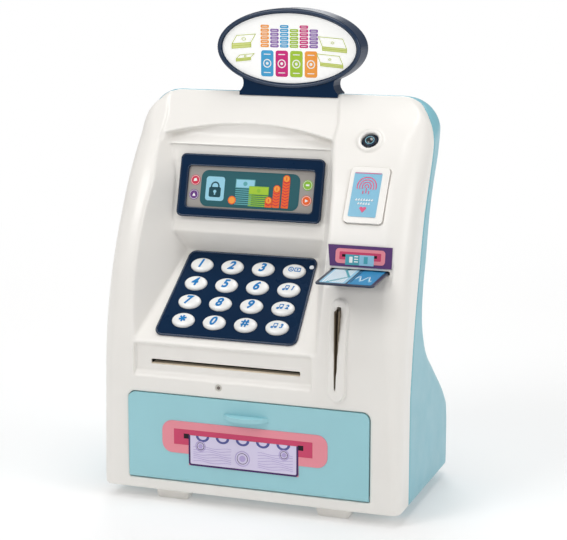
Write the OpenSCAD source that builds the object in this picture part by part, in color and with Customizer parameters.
// Toy ATM savings bank: a two-shell case with a keypad console, a display,
// a card reader, a motor-driven note slot, a coin slot and a vault with a drop-down door.
// The front face of the base is the plane y = 0 of the layout and the ground is z = 0.

/* [Case] */
// Width of the case
case_w = 207; // [204:1:212]
// Depth of the base, from front face to back face
case_d = 125; // [122:1:130]
// Height of the case without its sign
case_h = 267.6; // [266.6:0.5:269]
// Height of the feet under the base
foot_h = 8; // [6:1:9]
// Wall thickness of the case
wall = 2.5; // [2.2:0.1:2.8]
// Height at which the upright front starts to curve back
bend_z = 90; // [88:1:92]
// Radius of the curve that leans the front back
front_r = 229; // [227:1:231]
// Radius of the two upright front edges
edge_r = 17; // [14:1:18]
// Radius of the two upper corners in the front view
top_r = 30; // [26:1:32]

/* [Cockpit] */
// Sideways place of the keypad and the display
cockpit_x = -16.4; // [-17:0.1:-16]
// Slope of the keypad console from the horizontal
console_tilt = 42.56; // [42:0.02:43]
// Lean of the display wall from the upright
display_lean = 15.7; // [15:0.1:16]
// Height of the console's front edge
console_z = 108; // [107.8:0.1:108.4]

/* [Keypad] */
// Distance between key columns
key_pitch_x = 21.86; // [21.6:0.02:22]
// Distance between key rows
key_pitch_y = 15.16; // [15:0.02:15.4]
// Width of a key cap
key_w = 15.4; // [15:0.1:16]
// Height of a key cap, seen from the front
key_h = 11; // [10.6:0.1:11.4]
// Travel of a key
key_travel = 1; // [0.8:0.1:1]

/* [Vault door] */
// Half of the door's width
door_x = 83.2; // [82.5:0.1:83.4]
// Lower edge of the door
door_z0 = 15.7; // [15.5:0.1:16]
// Upper edge of the door
door_z1 = 74.6; // [74:0.1:76.4]
// Radius of the round lower edge, about the hinge axis
barrel_r = 3; // [2.8:0.1:3]
// Radius of a hinge pin
pin_r = 1.5; // [1.3:0.1:1.6]

/* [Card] */
// Width of the card
card_w = 38; // [37:0.5:38.5]
// Length of the card
card_l = 60; // [56:1:62]
// Thickness of the card
card_t = 1; // [0.8:0.1:1.2]
// How far the card stands out in front of the base
card_front = 18; // [14:1:20]

/* [Note feed] */
// Teeth of the roller gear
gear_teeth = 30; // [28:2:30]
// Teeth of the motor pinion
pinion_teeth = 10; // [10:1:11]
// Gear module
gear_module = 0.8; // [0.8:0.02:0.82]
// Radius of the driven note roller
roller_r = 5; // [4.8:0.1:5]
// Radius of the idler note roller
idler_r = 4; // [3.8:0.1:4]

/* [Sign] */
// Width of the oval sign
sign_w = 101; // [96:1:104]
// Height of the oval sign
sign_h = 53; // [50:1:54]
// Height of the oval's centre
sign_z = 296.5; // [295:0.5:298]
// Depth of the sign
sign_d = 17; // [15:1:17]

/* [Hidden] */
$fn = 48;
half_w = case_w / 2;
mid_y = (case_d - card_front) / 2;
far = 300;
KEY_NAMES = ["1", "2", "3", "coin", "4", "5", "6", "tune1", "7", "8", "9", "tune2", "star", "0", "hash", "tune3"];

// The case's back in side view, from the top of the deep base up to the top face.
BACK = [[case_d, 44], [116, 63], [88, 86], [67, 103], [58, 118], [55.6, 132], [58.6, 148], [63.4, 162],
        [71.5, 190], [80.5, 209], [92, 228], [98, 246], [98, 256], [93.5, case_h - 3.4],
        [87, case_h - 0.9], [80, case_h], [50, case_h]];
// The line where the white front shell meets the coloured rear shell, in side view.
SEAM = [[19, -5], [19, 70], [19.2, 84], [25.5, 120], [37.7, 156], [52, 193], [72, 229], [77, 248], [86, 262], [87, 280]];

// Vault door hinge axis
hinge_y = barrel_r - 1;
hinge_z = door_z0 + barrel_r;
// Console and display frames, at the middle of the key grid and of the display
console_y = 31.1;
display_y = 52.75;
display_z = 205.9;
console_wall = 2.2;
plate_t = 0.8;
// Note feed axes
feed_y = 28;
note_z = 95.2;
feed_z = note_z - 0.3 - roller_r;
idler_z = note_z + 0.3 + idler_r;
motor_y = feed_y + gear_module * (gear_teeth + pinion_teeth) / 2;
axle_r = 1.5;
// Card slot
card_x = 71;
slot_y = 15.4;
card_z = 162.3;
card_tilt = 4;
// Coin slot
coin_x = 60.6;
// Latch bolt
latch_x = 74;
// Camera, fingerprint button and status light
camera_x = 64.8;
camera_z = 240.4;
button_x = 70.2;
button_z = 208.4;
led_x = -19.4;
led_z = 82;
// Sideways place of the feet
foot_x = 56.5;
// Front face of the sign
sign_y = 81;
// Screws: x and z of each, y of the seam there, y of the boss's root and of the tube's end
SCREWS = [[95, 24, 19, 1.5, 124], [95, 146, 33.7, 8, 57], [86, 236, 73, 58, 94]];
boss_r = 4;
tube_r = 4.5;

function arc(cx, cy, r, a0, a1, n) = [for (k = [0:n]) let(a = a0 + (a1 - a0) * k / n) [cx + r * cos(a), cy + r * sin(a)]];
function oval(w, h, n = 40) = [for (k = [0:n - 1]) [w / 2 * cos(360 * k / n), h / 2 * sin(360 * k / n)]];
function rounded(w, h, r, n = 6) = concat(arc(w / 2 - r, h / 2 - r, r, 0, 90, n), arc(r - w / 2, h / 2 - r, r, 90, 180, n),
                                          arc(r - w / 2, r - h / 2, r, 180, 270, n), arc(w / 2 - r, r - h / 2, r, 270, 360, n));
function blend(a, b, c, d, t) = 0.5 * (2 * b + (c - a) * t + (2 * a - 5 * b + 4 * c - d) * t * t + (3 * b - a - 3 * c + d) * t * t * t);
function smooth(p, n = 4) = concat([for (i = [0:len(p) - 2]) for (k = [0:n - 1])
    blend(p[max(i - 1, 0)], p[i], p[i + 1], p[min(i + 2, len(p) - 1)], k / n)], [p[len(p) - 1]]);
function inset(p, d) = [for (i = [0:len(p) - 1]) let(t = p[min(i + 1, len(p) - 1)] - p[max(i - 1, 0)], u = t / norm(t))
    p[i] + d * [-u[1], u[0]]];
function lean(z) = z > bend_z ? asin((z - bend_z) / front_r) : 0;
function front_y(z) = front_r * (1 - cos(lean(z)));
function console_line(y) = console_z + y * tan(console_tilt);

// Moves the layout so that the origin is below the middle of the whole object.
module home() { translate([0, -mid_y, 0]) children(); }
// Extrudes a side view (y, z) along X, or a front view (x, z) along Y.
module side_view(p, x0, x1) { translate([x0, 0, 0]) rotate([90, 0, 90]) linear_extrude(x1 - x0) polygon(p); }
module front_view(p, y0, y1) { translate([0, y1, 0]) rotate([90, 0, 0]) linear_extrude(y1 - y0) polygon(p); }
// Frames whose Z points out of the console, the display, the curved front, and the card slot.
module on_console() { translate([cockpit_x, console_y, console_line(console_y)]) rotate([console_tilt, 0, 0]) children(); }
module on_display() { translate([cockpit_x, display_y, display_z]) rotate([90 - display_lean, 0, 0]) children(); }
module on_front(x, z) { translate([x, front_y(z), z]) rotate([90 - lean(z), 0, 0]) children(); }
module on_card() { translate([card_x, slot_y, card_z]) rotate([card_tilt, 0, 0]) children(); }
module slab(x0, x1, y0, y1, z0, z1) { translate([x0, y0, z0]) cube([x1 - x0, y1 - y0, z1 - z0]); }
module rod_y(x, z, r, y0, y1) { translate([x, y1, z]) rotate([90, 0, 0]) cylinder(h = y1 - y0, r = r); }
module rod_x(y, z, r, x0, x1) { translate([x0, y, z]) rotate([0, 90, 0]) cylinder(h = x1 - x0, r = r); }

// The solid outer form of the case, made smaller all over by i.
module envelope(i) {
    w = half_w - i;
    plan = concat([[-w, case_d - i]], arc(edge_r - half_w, edge_r, edge_r - i, 180, 270, 8),
                  arc(half_w - edge_r, edge_r, edge_r - i, 270, 360, 8), [[w, case_d - i]]);
    section = concat([[90, -w]], arc(front_r - edge_r, edge_r - half_w, edge_r - i, -90, 0, 8),
                     arc(front_r - edge_r, half_w - edge_r, edge_r - i, 0, 90, 8), [[90, w]]);
    side = concat([[-20, -5], [case_d - i, -5]], inset(smooth(BACK), i), [[-20, case_h - i]]);
    front = concat(arc(half_w - 6, foot_h + 6, 6 - i, -90, 0, 3), arc(half_w - top_r, case_h - top_r, top_r - i, 0, 90, 8),
                   arc(top_r - half_w, case_h - top_r, top_r - i, 90, 180, 8), arc(6 - half_w, foot_h + 6, 6 - i, 180, 270, 3));
    intersection() {
        union() {
            translate([0, 0, foot_h + i]) linear_extrude(bend_z - foot_h - i) polygon(plan);
            translate([0, front_r, bend_z]) rotate([90, 0, -90]) rotate_extrude(angle = 70) polygon(section);
        }
        side_view(side, -half_w - 5, half_w + 5);
        front_view(front, -20, case_d + 20);
    }
}

// The open space of the cockpit, grown by e.
module cockpit(e) {
    turn = atan(0.4);
    tip = asin(0.117);
    drop = e / cos(console_tilt);
    profile = [[-60, console_line(-60) - drop], [57.6 + 1.2 * e, console_line(57.6 + 1.2 * e) - drop],
               [45.9 + 1.1 * e, 175.5], [61.3 + 1.1 * e, 232], [66 + 1.1 * e, 238 + 0.5 * e],
               [66 + 1.1 * e, far], [-60, far]];
    arch = concat([[-97 - e, 60], [53 + e, 60]], arc(-22, 6.6, 240 + e, 71.8, 108.2, 12));
    intersection() {
        side_view(profile, -150, 120);
        front_view(arch, -80, 120);
        inside_cheek(0, 49.7 + e, turn, tip);
        inside_cheek(1, 49.7 + e, turn, tip);
    }
}

// All the space on the inner side of one slanted side wall of the cockpit.
module inside_cheek(side, x, turn, tip) {
    translate([cockpit_x, 0, 0]) mirror([side, 0, 0]) translate([x, 0, 0]) rotate([0, tip, turn])
        translate([-far, -far, -far]) cube([far, 2 * far, 2 * far]);
}

module front_shell() {
    color("white") home() difference() {
        union() {
            difference() {
                intersection() {
                    envelope(0);
                    side_view(concat([[-20, -5]], smooth(SEAM), [[-20, 280]]), -half_w - 1, half_w + 1);
                }
                envelope(wall);
            }
            intersection() {
                envelope(0);
                union() {
                    cockpit(console_wall);
                    slab(-82, 46.5, 0, 6, 85.5, 109);
                    side_view([[0, 140], [slot_y + 2.2, 158], [slot_y + 2.2, 165], [20, 181], [0, 181]], 46, 95.5);
                }
            }
            intersection() {
                envelope(wall - 0.5);
                union() {
                    for (s = [-1, 1], b = SCREWS) rod_y(s * b[0], b[1], boss_r, b[3], b[2] - 0.1);
                    for (s = [0, 1]) mirror([s, 0, 0]) slab(84.2, 88.9, 1, 7, 13, 24);
                    slab(67, 81, 2, 6.5, 78.5, 83.5);
                }
            }
            coin_boss();
            for (s = [-1, 1]) foot(s * foot_x, 8.6);
        }
        cockpit(0);
        // note slot panel with its slot
        side_view([[-5, 85.5], [0, 85.5], [3.5, 89.3], [3.5, 107.2], [-5, 107.2]], cockpit_x - 63, cockpit_x + 60.3);
        slab(-68.2, 35.4, -5, 10, 94, 96.5);
        // vault door opening
        slab(-door_x - 0.7, door_x + 0.7, -5, 12, door_z0 - 0.6, door_z1 + 0.6);
        for (s = [-1, 1]) rod_x(hinge_y, hinge_z, pin_r + 0.03, s * 85 - 3, s * 85 + 3);
        // display window, keys and keypad indicator
        on_display() translate([0, 0, -6]) linear_extrude(12) polygon(rounded(96, 37, 2));
        for (i = [0:15]) on_key(i) translate([0, 0, -5]) linear_extrude(10) polygon(oval(key_w + 0.9, key_h + 0.9));
        on_console() translate([43.8, 27.2, -5]) cylinder(h = 10, r = 1.6);
        // camera, fingerprint button and status light
        on_front(camera_x, camera_z) {
            translate([0, 0, -12]) cylinder(h = 20, r = 6.15);
            translate([0, 0, -2]) cylinder(h = 2.6, r1 = 6.2, r2 = 9.2);
        }
        on_front(button_x, button_z) translate([0, 0, -8]) linear_extrude(20) polygon(rounded(26.3, 39, 3));
        rod_y(led_x, led_z, 2.3, -5, 10);
        // card notch, label seat and card slot
        side_view([[-20, 133], [slot_y, 160], [slot_y, 165], [0, 165], [-20, 165]], card_x - 22, card_x + 22);
        side_view([[0, 164.9], [slot_y, 164.9], [17.8, 178.7], [0, 178.7]], card_x - 22, card_x + 22);
        on_card() slab(-card_w / 2 - 0.6, card_w / 2 + 0.6, -8, 10, -1.2, 1.2);
        // coin slot and screw holes
        front_view([[coin_x - 1.7, 141.3], [coin_x + 1.9, 141.3], [coin_x - 0.4, 86.8], [coin_x - 1.4, 86.8]], -5, 14);
        for (s = [-1, 1], b = SCREWS) rod_y(s * b[0], b[1], 1.5, b[2] - 12, b[2] + 5);
    }
}

module coin_boss() {
    intersection() {
        envelope(-1.2);
        difference() {
            front_view(concat(arc(61.3, 86.2, 5.6, 180, 360, 8), arc(61.3, 140.4, 5.6, 0, 180, 8)), -5, 20);
            envelope(0.5);
        }
    }
}

// One moulded foot under the base.
module foot(x, y) {
    front_view([[x - 13, foot_h + 0.2], [x - 10.5, 0], [x + 10.5, 0], [x + 13, foot_h + 0.2]], y, y + 10);
}

module rear_shell() {
    color("lightblue") home() difference() {
        union() {
            difference() {
                envelope(0);
                envelope(wall);
                side_view(concat([[-40, -5]], smooth(SEAM), [[-40, 280]]), -half_w - 1, half_w + 1);
                // battery compartment mouth, in the floor
                slab(-33, 33, 74, 120, foot_h - 1, foot_h + wall + 1);
            }
            // pad and post for the battery cover's screw
            slab(34.6, 46, 88, 106, foot_h + wall - 0.5, foot_h + wall + 2);
            translate([39.5, 97, foot_h + wall]) cylinder(h = 10, r = 4);
            for (s = [-1, 1], b = SCREWS) intersection() {
                envelope(wall - 0.5);
                rod_y(s * b[0], b[1], tube_r, b[2] + 0.1, b[4]);
            }
            for (s = [-1, 1]) foot(s * foot_x, 104);
        }
        for (s = [-1, 1], b = SCREWS) {
            rod_y(s * b[0], b[1], 1.7, b[2] - 1, b[2] + 5);
            rod_y(s * b[0], b[1], 3, b[2] + 3, case_d + 5);
        }
        slab(32, 44.4, 90, 104, foot_h - 1, foot_h + 2);
        translate([39.5, 97, foot_h]) cylinder(h = 11, r = 1.25);
        // speaker grille and power switch, in the flat part of the back
        for (i = [-3:3], j = [-3:3]) if (i * i + j * j < 12) rod_y(-60 + i * 3.6, 27 + j * 3.6, 1, 115, 130);
        slab(53.5, 66.5, 115, 130, 23.8, 30.2);
        // pegs of the sign
        for (s = [-1, 1]) translate([s * 20, 90, 255]) cylinder(h = 20, r = 2);
    }
}

module sign_frame() {
    base_z = 278;
    flare = concat([[-34.8, 258], [34.8, 258]], arc(38.8, 273, 7, 235, 150, 5), [[30, 285], [-30, 285]],
                   arc(-38.8, 273, 7, 30, -55, 5));
    color("midnightblue") home() {
        difference() {
            union() {
                translate([0, 0, sign_z]) front_view(oval(sign_w, sign_h, 96), sign_y, sign_y + sign_d);
                front_view(flare, sign_y, sign_y + 15);
                front_view([[-20, base_z], [-20, 262], [20, 262], [20, base_z]], sign_y + 2, sign_y + 13);
            }
            translate([0, 0, sign_z]) front_view(oval(sign_w - 6.3, sign_h - 6.5, 96), 70, sign_y + 2.5);
            envelope(0);
        }
        for (s = [-1, 1]) translate([s * 20, 90, 260]) cylinder(h = 8, r = 2);
    }
}

module sign_plate() {
    color("ivory") home() translate([0, 0, sign_z])
        front_view(oval(sign_w - 6.3, sign_h - 6.5, 96), sign_y + 1.3, sign_y + 2.5);
}

module display_bezel() {
    color("midnightblue") home() on_display() difference() {
        union() {
            translate([0, 0, 0]) linear_extrude(1.6) polygon(rounded(101.6, 42.4, 3.5));
            translate([0, 0, -4]) linear_extrude(4) polygon(rounded(96, 37, 2));
        }
        translate([0, -0.8, -0.6]) linear_extrude(3) polygon(rounded(89.5, 28, 2.5));
        translate([0, 0, -5]) linear_extrude(6) polygon(rounded(78, 24, 2));
    }
}

module display_window() {
    color("gray") home() on_display() translate([0, -0.8, -0.6]) linear_extrude(0.8) polygon(rounded(89.5, 28, 2.5));
}

module display_board() {
    color("darkgreen") home() on_display() {
        translate([0, 0, -6.4]) linear_extrude(1.6) polygon(rounded(92, 33, 1));
        translate([0, 0, -4.8]) linear_extrude(3.2) polygon(rounded(77, 23, 1));
    }
}

module keypad_plate() {
    color("midnightblue") home() difference() {
        on_console() linear_extrude(plate_t) difference() {
            polygon(concat(arc(41.4, 29.5, 5, 0, 90, 5), arc(-39.6, 29.5, 5, 90, 180, 5),
                           arc(-45, -30, 5, 180, 270, 5), arc(43.4, -30, 5, 270, 360, 5)));
            for (i = [0:15]) translate(key_place(i)) polygon(oval(key_w + 0.7, key_h + 0.7));
        }
        on_console() translate([43.8, 27.2, -5]) cylinder(h = 10, r = 1.6);
    }
}

function key_place(i) = [(i % 4 - 1.5) * key_pitch_x, (1.5 - floor(i / 4)) * key_pitch_y, 0];
module on_key(i) { on_console() translate(key_place(i)) children(); }

module key(i) {
    color("white") home() on_key(i) {
        translate([0, 0, -2.5]) linear_extrude(4.7) polygon(oval(key_w, key_h));
        translate([0, 0, 2.2]) linear_extrude(0.5) polygon(oval(key_w - 1, key_h - 1));
        translate([0, 0, 2.7]) linear_extrude(0.3) polygon(oval(key_w - 3, key_h - 3));
        translate([0, 0, -3.2]) linear_extrude(0.7) polygon(oval(key_w + 2.2, key_h + 2.2));
    }
}

module keypad_membrane() {
    color("dimgray") home() on_console() translate([0, -2.5, -5]) linear_extrude(0.6) polygon(rounded(88, 57, 2));
}

module keypad_board() {
    color("darkgreen") home() on_console() translate([0, -2.5, -6]) linear_extrude(1) polygon(rounded(90, 57, 2));
}

module keypad_led() {
    color("snow") home() on_console() translate([43.8, 27.2, 0]) {
        translate([0, 0, -3]) cylinder(h = 4.1, r = 1.5);
        translate([0, 0, -4.2]) cylinder(h = 1.2, r = 2.2);
    }
}

// Barrel of the camera, held by a flange behind the wall.
module camera_housing() {
    color("dimgray") home() on_front(camera_x, camera_z) difference() {
        union() {
            translate([0, 0, -9]) cylinder(h = 9.8, r = 6);
            translate([0, 0, -5.2]) cylinder(h = 1.8, r = 8.6);
        }
        translate([0, 0, -2.5]) cylinder(h = 6, r = 4.6);
    }
}

module camera_lens() {
    color("black") home() on_front(camera_x, camera_z) {
        translate([0, 0, -2.5]) cylinder(h = 1.9, r = 4.55);
        intersection() {
            translate([0, 0, -7.9]) sphere(r = 8);
            translate([0, 0, -1]) cylinder(h = 4, r = 4.5);
        }
    }
}

module fingerprint_button() {
    color("white") home() on_front(button_x, button_z) {
        translate([0, 0, -3.7]) linear_extrude(4.6) polygon(rounded(25.7, 38.4, 3));
        translate([0, 0, -4.7]) linear_extrude(1) polygon(rounded(28.5, 41, 3));
    }
}

module fingerprint_label() {
    color("skyblue") home() on_front(button_x, button_z) translate([-1, 0, 0.9]) linear_extrude(0.3) polygon(rounded(18.3, 30.5, 0.8));
}

module fingerprint_switch() {
    color("darkgreen") home() on_front(button_x, button_z) {
        translate([0, 0, -10]) linear_extrude(1.6) polygon(rounded(24, 34, 1));
        translate([0, 0, -8.4]) linear_extrude(1.8) polygon(rounded(6, 6, 0.5));
        translate([0, 0, -6.6]) cylinder(h = 0.6, r = 1.7);
    }
}

module card_bezel() {
    color("indigo") home() intersection() {
        side_view([[slot_y - 0.5, 165.2], [slot_y, 165.2], [17.75, 178.5], [17.25, 178.5]], card_x - 21.5, card_x + 21.5);
        front_view([[card_x - 19.6, 165], [card_x + 21, 165], [card_x + 21, 179], [card_x - 21.5, 179]], 0, 30);
    }
}

module card() {
    color("deepskyblue") home() on_card() translate([0, card_l / 2 - slot_y - card_front - 0.1, -card_t / 2])
        linear_extrude(card_t) polygon(rounded(card_w, card_l, 3));
}

module card_reader() {
    color("gray") home() on_card() difference() {
        slab(-22, 22, 3.6, 32, -4.5, 4.5);
        slab(-card_w / 2 - 0.5, card_w / 2 + 0.5, 3, 33, -1, 1);
    }
}

module coin_chute() {
    color("gainsboro") home() difference() {
        intersection() {
            envelope(wall + 0.1);
            slab(56.4, 65.4, 2.6, 34, 81, 146);
        }
        slab(58.9, 62.9, 0, 32, 80, 143.5);
    }
}

module status_led() {
    color("gray") home() {
        rod_y(led_x, led_z, 2.25, 0.6, 3);
        rod_y(led_x, led_z, 3, 3, 4.5);
    }
}

// A gear or pinion blank with straight-sided teeth, turned so that a tooth or a gap is at angle 0.
module gear_outline(teeth, phase) {
    r = gear_module * teeth / 2;
    step = 360 / teeth;
    polygon([for (k = [0:teeth - 1], c = [[-0.3, -1.1], [-0.16, 0.7], [0.16, 0.7], [0.3, -1.1]])
        let(a = (k + phase + c[0]) * step, q = r + c[1] * gear_module) [q * cos(a), q * sin(a)]]);
}

module note_guide() {
    color("dimgray") home() difference() {
        union() {
            slab(-70, 37.2, 6, 40, 92, 98.5);
            slab(-72, -70, 6, 54, 82, 108);
            slab(37.2, 39.2, 6, 36, 82, 108);
            slab(-80.5, -72, 50.2, 54, 82, 97);
            slab(-80.5, -79, 36, 50.2, 82, 97);
        }
        slab(-68.5, 35.7, 5, 41, 94, 96.5);
        for (x = [-46, 1]) slab(x - 0.8, x + 12.8, feed_y - 8, feed_y + 8, 90, 100);
        rod_x(feed_y, feed_z, axle_r + 0.06, -73, 40);
        rod_x(feed_y, idler_z, axle_r + 0.06, -73, 40);
        rod_x(motor_y, feed_z, 1.2, -81, -78);
    }
}

module roller(r, z, x0) {
    rod_x(feed_y, z, axle_r, x0, 40.5);
    for (x = [-46, 1]) rod_x(feed_y, z, r, x, x + 12);
}

module note_roller() {
    color("darkslategray") home() {
        roller(roller_r, feed_z, -73.5);
        translate([-76.5, feed_y, feed_z]) rotate([90, 0, 90]) linear_extrude(3.5) gear_outline(gear_teeth, 0);
    }
}

module idler_roller() { color("gray") home() roller(idler_r, idler_z, -72.4); }

module motor_pinion() {
    color("goldenrod") home() difference() {
        translate([-77, motor_y, feed_z]) rotate([90, 0, 90]) linear_extrude(4.5) gear_outline(pinion_teeth, pinion_teeth / 2 + 0.5);
        rod_x(motor_y, feed_z, 0.95, -78, -74.5);
    }
}

module note_motor() {
    color("silver") home() {
        rod_x(motor_y, feed_z, 6, -98.5, -80.5);
        rod_x(motor_y, feed_z, 0.9, -80.5, -74.6);
    }
}

module vault_liner() {
    color("gainsboro") home() {
        difference() {
            slab(-80, 80, 7, 71, 12.5, 77);
            slab(-78.5, 78.5, 6, 69.5, 14, 78);
        }
        for (x = [-40, 40], z = [36, 68]) rod_y(x, z, 3, 70.9, 80);
    }
}

module door_panel() {
    rim = concat(arc(door_x - 5, door_z1 - 5, 5, 0, 90, 6), arc(5 - door_x, door_z1 - 5, 5, 90, 180, 6),
                 [[-door_x, hinge_z], [door_x, hinge_z]]);
    color("paleturquoise") home() difference() {
        union() {
            front_view(rim, -1, 1.5);
            rod_x(hinge_y, hinge_z, barrel_r, -door_x, door_x);
            // handle lip
            translate([0, 11.5, 62.4]) linear_extrude(2.8)
                polygon(concat([[-15.6, -11.5]], arc(0, 0, 20, 218.7, 321.3, 12), [[15.6, -11.5]]));
        }
        // finger scoop above the handle lip, and bores of the hinge
        intersection() {
            rod_x(-9.5, 65.2, 10, -20, 20);
            front_view(concat(arc(0, 45.2, 25, 53.1, 126.9, 10), [[-15, 65.2], [15, 65.2]]), -4, 1);
        }
        for (s = [-1, 1]) rod_x(hinge_y, hinge_z, pin_r + 0.06, s * 81 - 3, s * 81 + 3);
    }
}

// Catch on the back of the door: the latch bolt drops in front of its raised lip.
module door_catch() {
    color("paleturquoise") home() {
        slab(69, 77.5, 1.5, 3, 61, 67.2);
        slab(69, 77.5, 3, 17, 65, 67.2);
        slab(69, 77.5, 14.6, 17, 67.2, 71);
    }
}

module door_label() {
    color("pink") home() front_view(concat(arc(48.8, 50.6, 7, 0, 90, 6), arc(-51.8, 50.6, 7, 90, 180, 6),
        arc(-51.8, 42.8, 7, 180, 270, 6), [[-40, 35.8], [-40, 28.2], [36.2, 28.2], [36.2, 35.8]],
        arc(48.8, 42.8, 7, 270, 360, 6)), -1.4, -1);
}

module hinge_pins() {
    color("silver") home() for (s = [-1, 1]) rod_x(hinge_y, hinge_z, pin_r, s * 83.5 - 4.5, s * 83.5 + 4.5);
}

module latch_bolt() { color("silver") home() translate([latch_x, 12, 74.3]) cylinder(h = 11, r = 2); }

module latch_motor() {
    color("dimgray") home() difference() {
        slab(67, 81, 6.5, 18.5, 78.5, 91.5);
        translate([latch_x, 12, 70]) cylinder(h = 20, r = 2.06);
    }
}

module main_board() {
    color("darkgreen") home() {
        slab(-50, 50, 80, 81.6, 32, 73);
        slab(-12, 8, 81.6, 84, 44, 60);
        for (x = [-34, 26]) slab(x, x + 10, 81.6, 87, 50, 58);
    }
}

module speaker() {
    color("black") home() {
        rod_y(-60, 27, 14, 119, 122.4);
        rod_y(-60, 27, 9, 110, 119);
    }
}

module power_switch() {
    color("black") home() difference() {
        slab(52, 68, 114, 121.9, 21, 33);
        slab(53.4, 66.6, 118, 123, 25.4, 28.6);
    }
}

module power_slider() {
    color("dimgray") home() {
        slab(54.2, 59.6, 122.2, 124.6, 24.4, 29.6);
        slab(54.8, 59, 118.3, 122.3, 25.7, 28.3);
    }
}

module battery_box() {
    color("dimgray") home() difference() {
        slab(-34.5, 34.5, 72.5, 121.5, foot_h + wall, 29.5);
        slab(-33, 33, 74, 120, foot_h, 28);
    }
}

module batteries() {
    color("goldenrod") home() for (k = [0:2]) {
        rod_x(81.7 + 15.3 * k, 19.8, 7.2, -25, 24);
        rod_x(81.7 + 15.3 * k, 19.8, 2.7, 24, 25.2);
    }
}

module battery_contacts() {
    color("silver") home() for (k = [0:2]) for (x = [[-33, -25], [25.2, 33]])
        rod_x(81.7 + 15.3 * k, 19.8, 4, x[0], x[1]);
}

module battery_cover() {
    color("lightblue") home() difference() {
        union() {
            slab(-32.6, 32.6, 74.4, 119.6, foot_h, foot_h + 2);
            slab(32, 44, 90.4, 103.6, foot_h, foot_h + 2);
        }
        translate([39.5, 97, foot_h - 1]) cylinder(h = 5, r = 1.7);
        translate([39.5, 97, foot_h - 1]) cylinder(h = 2.2, r = 3);
    }
}

module battery_screw() {
    color("silver") home() translate([39.5, 97, foot_h]) {
        translate([0, 0, 0.2]) cylinder(h = 1, r = 2.7);
        translate([0, 0, 1.2]) cylinder(h = 9, r = 1.25);
    }
}

module case_screws() {
    color("silver") home() for (s = [-1, 1], b = SCREWS) {
        rod_y(s * b[0], b[1], 1.5, b[2] - 11, b[2] + 3);
        rod_y(s * b[0], b[1], 2.8, b[2] + 3, b[2] + 5);
    }
}

front_shell();
rear_shell();
sign_frame();
sign_plate();
display_bezel();
display_window();
display_board();
keypad_plate();
keypad_membrane();
keypad_board();
keypad_led();
for (i = [0:15]) key(i);
camera_housing();
camera_lens();
fingerprint_button();
fingerprint_label();
fingerprint_switch();
card_bezel();
card();
card_reader();
coin_chute();
status_led();
note_guide();
note_roller();
idler_roller();
motor_pinion();
note_motor();
vault_liner();
door_panel();
door_catch();
door_label();
hinge_pins();
latch_bolt();
latch_motor();
main_board();
speaker();
power_switch();
power_slider();
battery_box();
batteries();
battery_contacts();
battery_cover();
battery_screw();
case_screws();
